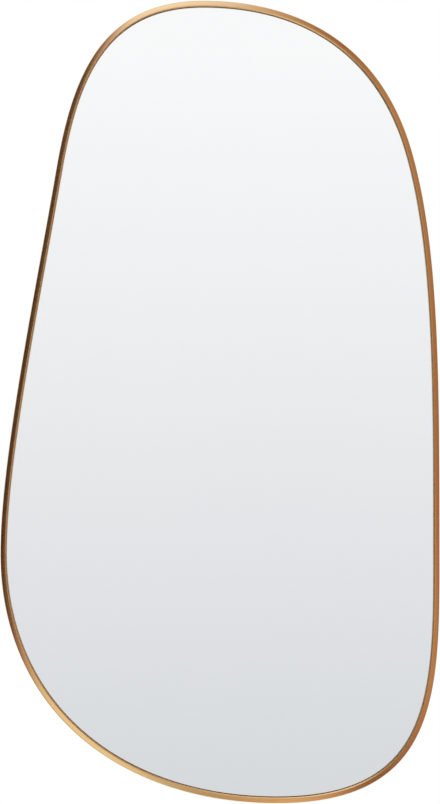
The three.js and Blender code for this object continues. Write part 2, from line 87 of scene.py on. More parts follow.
# Frame profile
FRAME_DEPTH = 28 * MM
FACE_WIDTH = 8 * MM
LIP_THICKNESS = 1.5 * MM
WALL_THICKNESS = 1.3 * MM
EDGE_ROUND = 1.2 * MM  # radius of the outer front edge
INNER_ROUND_WIDTH = 1.6 * MM  # the inner edge is a quarter ellipse, this wide and this deep
INNER_ROUND_DEPTH = 0.8 * MM
FACE_FALL = 0.6 * MM  # from the face's inner side to its outer side
FACE_CROWN = 0.05 * MM  # how far its middle stands out of a straight line between the two
FACE_STEPS = 12
ROUND_STEPS = 9  # to each rounded front edge
FLANGE_WIDTH = 6.5 * MM  # the rear flange, from the outline inwards
FLANGE_THICKNESS = 1.5 * MM
CHANNEL_GAP = 3.4 * MM  # between the rib and the rear flange
RIB_WIDTH = 4.5 * MM  # from the outline inwards
RIB_THICKNESS = 1.2 * MM
CORNER_ROUND = 0.2 * MM
JOINT_GAP = 0.1 * MM  # the closed butt joint at the lowest point, a hairline
SKIN = 0.005 * MM  # how far the finished frame keeps inside its nominal outline

# Packet
LAYER_GAP = 0.1 * MM  # clearance between flat layers
PACKET_INSET = 2.5 * MM
GLASS_ARRIS = 0.4 * MM
BOARD_ARRIS = 0.5 * MM
FILM_ARRIS_SHARE = 0.25  # of its thickness
GASKET_SETBACK = 1 * MM  # from the lip's inner edge
GASKET_ROUND = 0.25 * MM
TAPE_COUNT = 4
TAPE_ROUND = 0.2 * MM
TAPE_WANDER = 0.35 * MM  # how far its cut edges stray
TAPE_ROWS = 160

# Splice and set screws
SPLICE_LENGTH = 70 * MM
SPLICE_WIDTH = 3.8 * MM
SPLICE_CLEARANCE = 0.3 * MM  # to the frame's wall
SET_SCREW_PLACES = [-26 * MM, -10 * MM, 10 * MM, 26 * MM]  # along the rim, from its lowest point
SET_SCREW_INSET = (WALL_THICKNESS + FLANGE_WIDTH) / 2
SET_SCREW_RADIUS = 1.5 * MM
SET_SCREW_PITCH = 0.5 * MM
SET_SCREW_BLANK = 0.93  # the blank that its thread is cut in, as a share of its radius
SET_SCREW_CORE = 0.86  # the root of its thread, likewise
SET_SCREW_TOP = 0.8  # its flat end round the socket, likewise
SET_SCREW_THREAD_ROWS = 6  # to each turn
# its cup point, as (share of its radius, height)
SET_SCREW_CUP = [(0, 0.25 * MM), (0.45, 0.25 * MM), (0.6, 0), (0.66, 0)]
SET_SCREW_END = 0.3 * MM  # the taper at each end
SET_SCREW_THREAD_ENDS = (0.2 * MM, 0.25 * MM)  # from the cup and from the socket
SET_SCREW_SOCKET = 1.5 * MM  # across flats
SET_SCREW_SOCKET_DEPTH = 1.2 * MM
SET_SCREW_HOLE = 1.65 * MM
SET_SCREW_TURN = 0.7  # from one screw to the next, in radians

# Screws
SCREW_RADIUS = 1.75 * MM
SCREW_CORE = 1.25 * MM
SCREW_PITCH = 1.25 * MM
SCREW_LENGTH = 8 * MM
SCREW_TIP = 2 * MM  # height of the pointed end
SCREW_POINT = 0.15 * MM  # height of its blunt point
SCREW_POINT_SHARE = 0.08  # the point's radius, as a share of the screw's
SCREW_NECK = 0.1 * MM  # from the head to the highest place that a row of its shank may have
SCREW_THREAD_END = 0.4 * MM  # from the head
SCREW_THREAD_ROWS = 9  # to each turn
SCREW_HEAD_RADIUS = 3.5 * MM
SCREW_HEAD_HEIGHT = 2.3 * MM
# a pan head, as (share of its radius, share of its height)
SCREW_HEAD_SHAPE = [
    (0.62, 0), (0.97, 0), (1, 0.04), (1, 0.3), (0.985, 0.42), (0.95, 0.55),
    (0.88, 0.7), (0.78, 0.83), (0.65, 0.92), (0.5, 0.975), (0.3, 0.995), (0, 1),
]
SCREW_HOLE = 2.1 * MM
PILOT_RADIUS = 1.95 * MM
PILOT_DEPTH = 7.1 * MM
RECESS_LENGTH = 3.6 * MM  # the cross recess, tip to tip
RECESS_WIDTH = 0.9 * MM
RECESS_DEPTH = 1.3 * MM
RECESS_FLOOR = (0.5, 0.8)  # how long and how wide its arms still are at the bottom, as shares
RECESS_RISE = 0.05 * MM  # its full size lies this far above the head
RIDGE_SLOPE = 3.2  # of a thread's flanks: the steeper, the thinner the ridge

# Retaining clips
CLIP_COUNT = 10
CLIP_WIDTH = 20 * MM
CLIP_THICKNESS = 1.2 * MM
CLIP_FLANGE_CLEARANCE = 0.2 * MM  # from the toe to the rear flange
CLIP_TOE_START = 2.2 * MM  # this and the next three are insets
CLIP_TOE_END = 8.5 * MM
CLIP_FOOT_START = 11.5 * MM
CLIP_SCREW_INSET = 19.5 * MM
CLIP_FOOT_LENGTH = 15.5 * MM
CLIP_BEND = 1.4 * MM
CLIP_TOE_CORNER = 1.5 * MM
CLIP_FOOT_CORNER = 2.5 * MM
CLIP_SCREW_TURNS = [0.4 + 1.1 * i for i in range(CLIP_COUNT)]  # radians

# Strips of metal: the clips and the straps
STRIP_EDGE = 0.18 * MM  # radius of their long edges
STRIP_END = 0.3 * MM  # how much wider an end is, on each side, than full corner rounds leave it
STRIP_STEP = 0.5 * MM

# Hangers
RING_WIRE_RADIUS = 1.5 * MM
RING_CORNER = 3 * MM  # bend at each end of its straight bar
RING_LEG = 4 * MM
RING_ARC = 10.5 * MM  # radius of its round end
CURL_RADIUS = 2.3 * MM  # from the bar's axis to the middle of the strap's metal
CURL_TURN = 285  # degrees
STRAP_WIDTH = 14 * MM
STRAP_THICKNESS = 1.2 * MM
STRAP_LENGTH = 51.5 * MM
STRAP_CORNER = 4 * MM
STRAP_SCREW_DROPS = [26.5 * MM, 42.5 * MM]  # below the bar
STRAP_SCREW_TURNS = [0.9, 2.2]  # radians

# Bumpers
BUMPER_COUNT = 4
BUMPER_RADIUS = 3 * MM
BUMPER_ROUND = 0.5 * MM
BUMPER_CHAMFER = 0.15 * MM  # of the edge that is stuck on

CUT_MARGIN = 0.5 * MM  # how far a cutter stands out of what it cuts

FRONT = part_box("frame_profile")[0].y  # the frontmost plane
TO_BACK = Matrix.Rotation(-math.pi / 2, 4, "X")  # turns what is made along +Z to point to the back


def depth_of(node):
    """(front depth, back depth) of a node, behind the frontmost plane."""
    low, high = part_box(node)
    return low.y - FRONT, high.y - FRONT


def middle_of(node):
    low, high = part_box(node)
    return (low + high) / 2


def numbered(stem, count):
    return [f"{stem}_{i + 1}" for i in range(count)]


# ------------------------------------------------------------------ the rim


def distances_along(points):
    """The distance along a polyline to each of its points."""
    steps = np.linalg.norm(np.diff(points, axis=0), axis=1)
    return np.concatenate([[0], steps.cumsum()])


def direction(heading):
    return np.array([math.cos(math.radians(heading)), math.sin(math.radians(heading))])


def bezier_rim():
    """Points of the outline, close together, with the heading and the distance along it at each."""
    points, tangents = [], []
    t = np.linspace(0, 1, CURVE_SAMPLES, endpoint=False)[:, None]
    s = 1 - t
    for node, next_node in zip(OUTLINE_NODES, OUTLINE_NODES[1:] + OUTLINE_NODES[:1]):
        x, z, heading, _, after = node
        next_x, next_z, next_heading, before, _ = next_node
        a, d = np.array([x, z], float), np.array([next_x, next_z], float)
        b = a + after * direction(heading)
        c = d - before * direction(next_heading)
        points.append(a * s**3 + 3 * b * t * s**2 + 3 * c * t**2 * s + d * t**3)
        tangents.append(3 * (b - a) * s**2 + 6 * (c - b) * t * s + 3 * (d - c) * t**2)
    points, tangents = np.concatenate(points) * MM, np.concatenate(tangents)
    points, tangents = np.vstack([points, points[:1]]), np.vstack([tangents, tangents[:1]])
    headings = np.unwrap(np.arctan2(tangents[:, 1], tangents[:, 0]))
    return points, headings, distances_along(points)


RIM_POINTS, RIM_HEADINGS, RIM_DISTANCES = bezier_rim()
RIM_LENGTH = RIM_DISTANCES[-1]
frame_low, frame_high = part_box("frame_profile")
RIM_POINTS += [frame_low.x - RIM_POINTS[:, 0].min(), frame_high.z - RIM_POINTS[:, 1].max()]


def station(distance):
    """(x, z, inward x, inward z) at a distance along the rim from its lowest point."""
    d = distance % RIM_LENGTH
    heading = np.interp(d, RIM_DISTANCES, RIM_HEADINGS)
    x, z = (np.interp(d, RIM_DISTANCES, RIM_POINTS[:, i]) for i in (0, 1))
    return x, z, -math.sin(heading), math.cos(heading)


def rim_distances(start, end):
    return np.linspace(start, end, max(2, round((end - start) / RIM_STEP) + 1))


WHOLE_RIM = rim_distances(0, RIM_LENGTH)[:-1]


def rim_rows(section, distances):
    """A section of (inset, depth) points, set up at each distance along the rim."""
    rows = []
    for distance in distances:
        x, z, in_x, in_z = station(distance)
        rows.append([(x + in_x * i, FRONT + d, z + in_z * i) for i, d in section])
    return rows


def rim_place(distance):
    """Matrix of a place on the rim, from the front plane: X runs along it, Y to the back, Z inwards."""
    x, z, in_x, in_z = station(distance)
    turn = Matrix(((in_z, 0, in_x), (0, 1, 0), (-in_x, 0, in_z))).to_4x4()
    return Matrix.Translation((x, FRONT, z)) @ turn


# ------------------------------------------------------------------ sections and paths


def rounded(corners, steps=5):
    """A polygon from (x, y, radius) corners, with each corner turned into an arc. An open path is made
    the same way, with radius 0 at its two ends."""
    points = []
    for i, (x, y, radius) in enumerate(corners):
        here = np.array([x, y])
        if radius == 0:
            points.append(here)
            continue
        before = np.array(corners[i - 1][:2]) - here
        after = np.array(corners[(i + 1) % len(corners)][:2]) - here
        u, v = before / np.linalg.norm(before), after / np.linalg.norm(after)
        half = math.acos(np.clip(u @ v, -1, 1)) / 2
        centre = here + (u + v) / np.linalg.norm(u + v) * radius / math.sin(half)
        a = here + u * radius / math.tan(half) - centre
        b = here + v * radius / math.tan(half) - centre
        turn = math.pi - 2 * half
        for s in range(steps + 1):
            w = turn * s / steps
            points.append(centre + (a * math.sin(turn - w) + b * math.sin(w)) / math.sin(turn))
    return points


def rounded_box(x_start, x_end, y_start, y_end, radius, steps=5):
    """A rectangle with rounded corners."""
    corners = [(x_start, y_start), (x_end, y_start), (x_end, y_end), (x_start, y_end)]
    return rounded([(x, y, radius) for x, y in corners], steps)


def arc(x, y, radius, start, end, steps):
    """Points on an arc, with its angles in degrees."""
    angles = np.radians(np.linspace(start, end, steps + 1))
    return [(x + radius * math.cos(a), y + radius * math.sin(a)) for a in angles]


def regular_polygon(radius, sides):
    angles = [2 * math.pi * k / sides for k in range(sides)]
    return [(radius * math.cos(a), radius * math.sin(a)) for a in angles]


def quarter_round(inset, depth, width, height, start):
    """A quarter ellipse round (inset, depth), from an angle on. 0 points inwards and 90 to the front."""
    angles = [math.radians(start + 90 * i / ROUND_STEPS) for i in range(ROUND_STEPS + 1)]
    return [(inset + width * math.cos(a), depth - height * math.sin(a)) for a in angles]


def finer(points):
    """A polyline with points added, so that no step is longer than STRIP_STEP."""
    result = [points[0]]
    for a, b in zip(points, points[1:]):
        count = max(1, math.ceil(math.dist(a, b) / STRIP_STEP))
        result += [tuple(point) for point in np.linspace(a, b, count + 1)[1:]]
    return result


def round_ends(width, start_corner, end_corner):
    """The half width of a strip whose plan has rounded corners at its two ends, as a function of the
    distance along it and its length."""
    least = width / 2 - max(start_corner, end_corner) + STRIP_END

    def half_width(distance, length):
        result = width / 2
        for corner, off in ((start_corner, distance), (end_corner, length - distance)):
            if off < corner:
                result = min(result, width / 2 - corner + math.sqrt(corner**2 - (corner - off) ** 2))
        return max(result, least)

    return half_width


def thread(core, crest, pitch, low, high):
    """A function for lathe() that cuts a thread between two heights."""
    def radius_at(radius, z, angle):
        if not low < z < high:
            return radius
        phase = (z / pitch - angle / (2 * math.pi)) % 1
        ramp = min(1, (z - low) / pitch, (high - z) / pitch)
        ridge = max(0, 1 - abs(phase - 0.5) * RIDGE_SLOPE)
        return min(radius, core) + (crest - core) * ridge * ramp * (radius / crest)

    return radius_at


# ------------------------------------------------------------------ mesh making


def new_object(name, mesh, *materials):
    for material in materials:
        mesh.materials.append(material)
    piece = bpy.data.objects.new(name, mesh)
    bpy.context.scene.collection.objects.link(piece)
    return piece


def mesh_from(bm, name):
    """A mesh of what bm holds, which is used up."""
    mesh = bpy.data.meshes.new(name)
    bm.to_mesh(mesh)
    bm.free()
    return mesh


def solid_from(bm, name):
    """The same for a closed skin, with its faces turned outwards."""
    bmesh.ops.recalc_face_normals(bm, faces=bm.faces)
    return mesh_from(bm, name)


def smooth(mesh, sharp=40):
    """Shades a mesh smooth, apart from edges that turn by more than sharp degrees."""
    mesh.shade_smooth()
    mesh.set_sharp_from_angle(angle=math.radians(sharp))
    return mesh


def map_from_front(face, uv):
    """Maps a face as it is seen from the front, in metres."""
    for loop in face.loops:
        loop[uv].uv = (loop.vert.co.x, loop.vert.co.z)


def grid_mesh(name, rows, closed_rows, lengths=None):
    """A skin over rows of points, each row a closed loop. Open rows are capped at both ends. Its UV map
    is in metres, with U round each loop and V from row to row."""
    bm = bmesh.new()
    uv = bm.loops.layers.uv.new("UVMap")
    grid = [[bm.verts.new(p) for p in row] for row in rows]
    count = len(rows[0])
    around = distances_along(np.array([*rows[0], rows[0][0]]))
    if lengths is None:
        lengths = distances_along(np.array([np.mean(row, axis=0) for row in rows]))
    for i in range(len(rows) if closed_rows else len(rows) - 1):
        j = (i + 1) % len(rows)
        start, end = lengths[i], lengths[j] if j else 2 * lengths[i] - lengths[i - 1]
        for k in range(count):
            m = (k + 1) % count
            face = bm.faces.new((grid[i][k], grid[j][k], grid[j][m], grid[i][m]))
            left, right = around[k], around[k + 1]
            corners = ((left, start), (left, end), (right, end), (right, start))
            for loop, corner in zip(face.loops, corners):
                loop[uv].uv = corner
    if not closed_rows:
        for row in (grid[0], grid[-1]):
            map_from_front(bm.faces.new(row), uv)
    return smooth(solid_from(bm, name))


def swept(name, section, distances, closed):
    """A section of (inset, depth) points carried along the rim."""
    return grid_mesh(name, rim_rows(section, distances), closed, distances)


def plate(name, inset, front, back, arris):
    """A flat plate that fills the rim at an inset, between two depths, with its edges broken. Its back
    has the second material."""
    edge = inset + arris
    section = [(edge, front), (inset, front + arris), (inset, back - arris), (edge, back)]
    bm = bmesh.new()
    uv = bm.loops.layers.uv.new("UVMap")
    loops = [[bm.verts.new(p) for p in loop] for loop in zip(*rim_rows(section, WHOLE_RIM))]
    count = len(WHOLE_RIM)
    for lower, upper in zip(loops, loops[1:]):
        for k in range(count):
            m = (k + 1) % count
            bm.faces.new((lower[k], lower[m], upper[m], upper[k]))
    bm.faces.new(loops[0])
    bm.faces.new(loops[-1]).material_index = 1
    for face in bm.faces:
        map_from_front(face, uv)
    return smooth(solid_from(bm, name), sharp=20)


def ribbon(name, centreline, thickness, half_width):
    """A metal strip with rounded edges. Its centreline is (z, depth) points, and half_width gives half
    its width at a distance along it."""
    line = np.array(centreline, float)
    lengths = distances_along(line)
    tangent = np.gradient(line, axis=0)
    tangent /= np.linalg.norm(tangent, axis=1)[:, None]
    t = thickness / 2
    rows = []
    for (z, depth), (tz, td), distance in zip(line, tangent, lengths):
        half = half_width(distance, lengths[-1])
        section = rounded_box(-half, half, -t, t, STRIP_EDGE, steps=3)
        rows.append([(a, depth + b * tz, z - b * td) for a, b in section])
    return grid_mesh(name, rows, False, lengths)


def lathe(name, profile, segments, radius_at=None):
    """A solid of revolution about Z from (radius, z) points, the first and last on the axis. radius_at
    may change a radius round the axis, as a thread does."""
    bm = bmesh.new()
    rows = []
    for r, z in profile:
        if r == 0:
            rows.append([bm.verts.new((0, 0, z))])
            continue
        row = []
        for k in range(segments):
            angle = 2 * math.pi * k / segments
            radius = radius_at(r, z, angle) if radius_at else r
            row.append(bm.verts.new((radius * math.cos(angle), radius * math.sin(angle), z)))
        rows.append(row)
    for lower, upper in zip(rows, rows[1:]):
        for k in range(segments):
            m = (k + 1) % segments
            # a row on the axis has only one point, and its faces have three corners
            corners = [row[n % len(row)] for row, n in ((lower, k), (lower, m), (upper, m), (upper, k))]
            bm.faces.new(list(dict.fromkeys(corners)))
    return smooth(solid_from(bm, name))


def unwrap_round(mesh, radius):
    """A UV map in metres for a turned piece: round the axis and along it."""
    layer = mesh.uv_layers.new(name="UVMap")
    for loop in mesh.loops:
        x, y, z = mesh.vertices[loop.vertex_index].co
        layer.data[loop.index].uv = (math.atan2(y, x) * radius, z + math.hypot(x, y))


def prism(name, top, bottom, z_top, z_bottom):
    """A solid between two polygons of as many points, one above the other."""
    bm = bmesh.new()
    upper = [bm.verts.new((x, y, z_top)) for x, y in top]
    lower = [bm.verts.new((x, y, z_bottom)) for x, y in bottom]
    for k in range(len(top)):
        m = (k + 1) % len(top)
        bm.faces.new((lower[k], lower[m], upper[m], upper[k]))
    bm.faces.new(upper)
    bm.faces.new(lower)
    return solid_from(bm, name)


def hole(radius, low, high, place, segments=32):
    """A round cutter from one Y to another, at (x, z)."""
    ring = regular_polygon(radius, segments)
    mesh = prism("hole", ring, ring, high, low)
    mesh.transform(Matrix.Translation((place[0], 0, place[1])) @ TO_BACK)
    return mesh


def joined(meshes):
    """One mesh from several that don't touch, which are used up."""
    bm = bmesh.new()
    for mesh in meshes:
        bm.from_mesh(mesh)
        bpy.data.meshes.remove(mesh)
    return mesh_from(bm, "cutters")


def cut(mesh, tool, sharp=40):
    """A mesh less a tool. Both are used up."""
    body = new_object("body", mesh)
    knife = new_object("knife", tool)
    modifier = body.modifiers.new("cut", "BOOLEAN")
    modifier.operation = "DIFFERENCE"
    modifier.solver = "EXACT"
    modifier.object = knife
    bpy.context.view_layer.update()
    graph = bpy.context.evaluated_depsgraph_get()
    made = bpy.data.meshes.new_from_object(body.evaluated_get(graph))
    made.name = mesh.name
    for thing, data in ((body, mesh), (knife, tool)):
        bpy.data.objects.remove(thing)
        bpy.data.meshes.remove(data)
    return smooth(made, sharp)


# ------------------------------------------------------------------ shading nodes


def new_material(name):
    material = bpy.data.materials.new(name)
    material.use_nodes = True
    tree = material.node_tree
    return material, tree, tree.nodes["Principled BSDF"]


def feed(tree, socket, value):
    """Gives an input a number, a colour or the output of another node."""
    if isinstance(value, bpy.types.NodeSocket):
        tree.links.new(value, socket)
    elif socket.type == "RGBA":
        socket.default_value = (*value, 1)
    else:
        socket.default_value = value


def set_inputs(tree, node, **values):
    """Sets inputs by name, with _ for a space."""
    for name, value in values.items():
        feed(tree, node.inputs[name.replace("_", " ")], value)


def add(tree, kind, **values):
    """A new node. Its properties and its inputs are set by name."""
    node = tree.nodes.new(kind)
    for name, value in values.items():
        if name in node.bl_rna.properties:
            setattr(node, name, value)
        else:
            set_inputs(tree, node, **{name: value})
    return node


def object_place(tree):
    return add(tree, "ShaderNodeTexCoord").outputs["Object"]


def uv_place(tree):
    return add(tree, "ShaderNodeUVMap", uv_map="UVMap").outputs["UV"]


def stretched(tree, coordinates, scale):
    return add(tree, "ShaderNodeMapping", Vector=coordinates, Scale=scale).outputs["Vector"]


def noise(tree, coordinates, scale, detail, roughness):
    """Noise with scale grains to the metre, along each coordinate."""
    vector = stretched(tree, coordinates, scale)
    node = add(
        tree, "ShaderNodeTexNoise", Vector=vector, Scale=1.0, Detail=detail, Roughness=roughness
    )
    return node.outputs["Fac"]


def ranged(tree, value, low, high, start=0.3, end=0.7, smoothly=False):
    """Goes from low to high while a value goes from start to end."""
    node = add(
        tree, "ShaderNodeMapRange", interpolation_type="SMOOTHSTEP" if smoothly else "LINEAR",
        Value=value, From_Min=start, From_Max=end, To_Min=low, To_Max=high,
    )
    return node.outputs["Result"]


def mixed(tree, factor, first, second):
    node = add(tree, "ShaderNodeMix", data_type="RGBA")
    # of its many inputs, these are the factor and the two colours
    for index, value in ((0, factor), (6, first), (7, second)):
        feed(tree, node.inputs[index], value)
    return node.outputs[2]


def maths(tree, operation, a, b=0.0):
    node = add(tree, "ShaderNodeMath", operation=operation)
    feed(tree, node.inputs[0], a)
    feed(tree, node.inputs[1], b)
    return node.outputs[0]


def bumped(tree, height, strength, distance):
    node = add(tree, "ShaderNodeBump", Height=height, Strength=strength, Distance=distance)
    return node.outputs["Normal"]


# ------------------------------------------------------------------ materials


def brushed_gold():
    """Gold-toned aluminium, brushed along its length."""
    material, tree, shader = new_material("brushed_gold")
    uv = uv_place(tree)
    hairlines = noise(tree, uv, (9000, 18, 1), 2, 0.6)
    streaks = noise(tree, uv, (1500, 5, 1), 3, 0.6)
    drift = noise(tree, uv, (420, 3, 1), 2, 0.5)
    tone = mixed(tree, ranged(tree, streaks, 0, 1), (0.78, 0.49, 0.225), (0.86, 0.55, 0.27))
    tone = mixed(tree, ranged(tree, drift, 0, 0.5, 0.4, 0.65), tone, (0.68, 0.40, 0.17))
    shine = ranged(tree, hairlines, -0.03, 0.03)
    shine = maths(tree, "ADD", shine, ranged(tree, streaks, 0.17, 0.23))
    relief = bumped(tree, maths(tree, "ADD", hairlines, streaks), 0.25, 0.02 * MM)
    tangent = add(tree, "ShaderNodeTangent", direction_type="UV_MAP", uv_map="UVMap")
    set_inputs(
        tree, shader, Base_Color=tone, Roughness=shine, Normal=relief, Metallic=1, Anisotropic=0.7,
        Tangent=tangent.outputs["Tangent"],
    )
    return material


def clear_glass():
    """The front and edges of the pane: clear float glass with the faintest haze of handling."""
    material, tree, shader = new_material("clear_glass")
    haze = noise(tree, object_place(tree), (6, 6, 6), 4, 0.6)
    tone = mixed(tree, haze, (0.985, 0.995, 0.99), (0.99, 1.0, 0.995))
    shine = ranged(tree, haze, 0.0, 0.012)
    set_inputs(
        tree, shader, Base_Color=tone, Roughness=shine, Transmission_Weight=1, IOR=1.52
    )
    return material


def silvering():
    """The silver on the back of the pane, seen through it."""
    material, tree, shader = new_material("silvering")
    cloud = noise(tree, object_place(tree), (3, 3, 3), 3, 0.5)
    tone = mixed(tree, cloud, (0.95, 0.955, 0.95), (0.965, 0.965, 0.96))
    shine = ranged(tree, cloud, 0.0, 0.01)
    set_inputs(tree, shader, Base_Color=tone, Roughness=shine, Metallic=1)
    return material


def plated_steel(name, colour, dark, roughness):
    """Zinc or nickel plated steel with rolling marks and faint stains."""
    material, tree, shader = new_material(name)
    marks = noise(tree, uv_place(tree), (900, 40, 1), 3, 0.6)
    stains = noise(tree, object_place(tree), (160, 160, 160), 4, 0.6)
    tone = mixed(tree, ranged(tree, marks, 0, 1), dark, colour)
    tone = mixed(tree, ranged(tree, stains, 0, 0.3, 0.5, 0.75), tone, dark)
    shine = ranged(tree, marks, -0.05, 0.05)
    shine = maths(tree, "ADD", shine, ranged(tree, stains, roughness, roughness + 0.12))
    relief = bumped(tree, marks, 0.2, 0.02 * MM)
    set_inputs(
        tree, shader, Base_Color=tone, Roughness=shine, Normal=relief, Metallic=1, Anisotropic=0.4
    )
    return material


def fibreboard():
    """Medium density fibreboard: pressed brown fibres, with a few dark ones."""
    material, tree, shader = new_material("fibreboard")
    place = object_place(tree)
    clouds = noise(tree, place, (9, 9, 9), 4, 0.6)
    fibres = noise(tree, place, (900, 900, 420), 4, 0.7)
    flecks = noise(tree, place, (420, 420, 1300), 2, 0.5)
    tone = mixed(tree, ranged(tree, clouds, 0, 1), (0.33, 0.215, 0.125), (0.39, 0.26, 0.155))
    tone = mixed(tree, ranged(tree, fibres, 0, 0.55, 0.35, 0.7), tone, (0.47, 0.335, 0.21))
    tone = mixed(tree, ranged(tree, flecks, 0, 0.6, 0.62, 0.75), tone, (0.17, 0.10, 0.055))
    shine = ranged(tree, fibres, 0.72, 0.88)
    relief = bumped(tree, fibres, 0.35, 0.08 * MM)
    set_inputs(tree, shader, Base_Color=tone, Roughness=shine, Normal=relief)
    return material


def rubber(name, colour, lighter):
    """Black rubber with a fine grain and a faint bloom."""
    material, tree, shader = new_material(name)
    place = object_place(tree)
    grain = noise(tree, place, (2500, 2500, 2500), 3, 0.6)
    bloom = noise(tree, place, (120, 120, 120), 3, 0.6)
    tone = mixed(tree, ranged(tree, bloom, 0, 1), colour, lighter)
    shine = ranged(tree, grain, 0.62, 0.8)
    relief = bumped(tree, grain, 0.3, 0.05 * MM)
    set_inputs(tree, shader, Base_Color=tone, Roughness=shine, Normal=relief)
    return material


def foam():
    """White closed-cell foam tape."""
    material, tree, shader = new_material("foam_tape")
    vector = stretched(tree, object_place(tree), (2600, 2600, 2600))
    cells = add(tree, "ShaderNodeTexVoronoi", Vector=vector, Scale=1.0).outputs["Distance"]
    between = ranged(tree, cells, 0, 1, 0.1, 0.6)
    tone = mixed(tree, between, (0.84, 0.83, 0.79), (0.68, 0.67, 0.63))
    shine = ranged(tree, cells, 0.8, 0.95, 0.1, 0.6)
    relief = bumped(tree, cells, 0.4, 0.1 * MM)
    set_inputs(tree, shader, Base_Color=tone, Roughness=shine, Normal=relief)
    return material


def plastic_film():
    """The white polyethylene film on the back of the glass, woven with faint threads."""
    material, tree, shader = new_material("plastic_film")
    place = object_place(tree)
    x_threads = noise(tree, place, (1500, 1, 25), 2, 0.5)
    z_threads = noise(tree, place, (25, 1, 1500), 2, 0.5)
    threads = maths(tree, "MAXIMUM", x_threads, z_threads)
    on_thread = ranged(tree, threads, 0, 1, 0.45, 0.8)
    tone = mixed(tree, on_thread, (0.62, 0.65, 0.66), (0.74, 0.76, 0.77))
    shine = ranged(tree, threads, 0.34, 0.48, 0.45, 0.8)
    relief = bumped(tree, threads, 0.2, 0.03 * MM)
    set_inputs(tree, shader, Base_Color=tone, Roughness=shine, Normal=relief)
    return material


GOLD = brushed_gold()
GLASS = clear_glass()
SILVER = silvering()
ZINC = plated_steel("zinc_plate", (0.62, 0.63, 0.64), (0.46, 0.47, 0.48), 0.3)
SCREW_STEEL = plated_steel("screw_steel", (0.66, 0.66, 0.65), (0.5, 0.5, 0.49), 0.26)
WIRE_STEEL = plated_steel("wire_steel", (0.68, 0.68, 0.68), (0.55, 0.55, 0.56), 0.2)
BLACK_STEEL = plated_steel("black_steel", (0.10, 0.10, 0.105), (0.06, 0.06, 0.06), 0.36)
FIBREBOARD = fibreboard()
GASKET_RUBBER = rubber("gasket_rubber", (0.018, 0.018, 0.018), (0.03, 0.03, 0.03))
BUMPER_RUBBER = rubber("bumper_rubber", (0.022, 0.022, 0.022), (0.045, 0.045, 0.045))
FOAM = foam()
FILM = plastic_film()


# ------------------------------------------------------------------ frame and splice


def add_piece(name, mesh, materials, node, body="mirror"):
    """A finished piece, tied to the body that it moves with, in place of the node that it stands for,
    which is hidden.
    """
    piece = new_object(name, mesh, *materials)
    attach(piece, body)
    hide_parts(node)


def face_points():
    """The front of the frame, from its inner edge to its outer edge."""
    inner, outer = FACE_WIDTH - INNER_ROUND_WIDTH, EDGE_ROUND
    points = quarter_round(inner, INNER_ROUND_DEPTH, INNER_ROUND_WIDTH, INNER_ROUND_DEPTH, 0)
    for i in range(1, FACE_STEPS):
        share = i / FACE_STEPS
        depth = FACE_FALL * share - 4 * FACE_CROWN * share * (1 - share)
        points.append((inner + (outer - inner) * share, depth))
    return points + quarter_round(outer, FACE_FALL + EDGE_ROUND, EDGE_ROUND, EDGE_ROUND, 90)


def make_frame():
    flange_front = FRAME_DEPTH - FLANGE_THICKNESS
    rib_back = flange_front - CHANNEL_GAP
    rib_front = rib_back - RIB_THICKNESS
    section = rounded([
        (0, FRAME_DEPTH, CORNER_ROUND * 2),
        (FLANGE_WIDTH, FRAME_DEPTH, CORNER_ROUND),
        (FLANGE_WIDTH, flange_front, CORNER_ROUND),
        (WALL_THICKNESS, flange_front, CORNER_ROUND),
        (WALL_THICKNESS, rib_back, CORNER_ROUND),
        (RIB_WIDTH, rib_back, CORNER_ROUND),
        (RIB_WIDTH, rib_front, CORNER_ROUND),
        (WALL_THICKNESS, rib_front, CORNER_ROUND),
        (WALL_THICKNESS, LIP_THICKNESS, CORNER_ROUND),
        (FACE_WIDTH, LIP_THICKNESS, CORNER_ROUND),
        *((inset, depth, 0) for inset, depth in face_points()),
    ])
    section = [(max(inset, SKIN), max(depth, SKIN)) for inset, depth in section]
    distances = rim_distances(JOINT_GAP / 2, RIM_LENGTH - JOINT_GAP / 2)
    mesh = swept("gold_frame", section, distances, False)

    low, high = FRONT + flange_front - CUT_MARGIN, FRONT + FRAME_DEPTH + CUT_MARGIN
    places = [rim_place(d) @ Vector((0, 0, SET_SCREW_INSET)) for d in SET_SCREW_PLACES]
    mesh = cut(mesh, joined([hole(SET_SCREW_HOLE, low, high, (p.x, p.z)) for p in places]))
    add_piece("gold_frame", mesh, [GOLD], "frame_profile")


def make_splice():
    front, back = depth_of("splice_plate")
    near = WALL_THICKNESS + SPLICE_CLEARANCE
    section = rounded_box(near, near + SPLICE_WIDTH, back, front, CORNER_ROUND)
    distances = rim_distances(-SPLICE_LENGTH / 2, SPLICE_LENGTH / 2)
    mesh = swept("splice", section, distances, False)
    add_piece("joint_splice", mesh, [ZINC], "splice_plate")


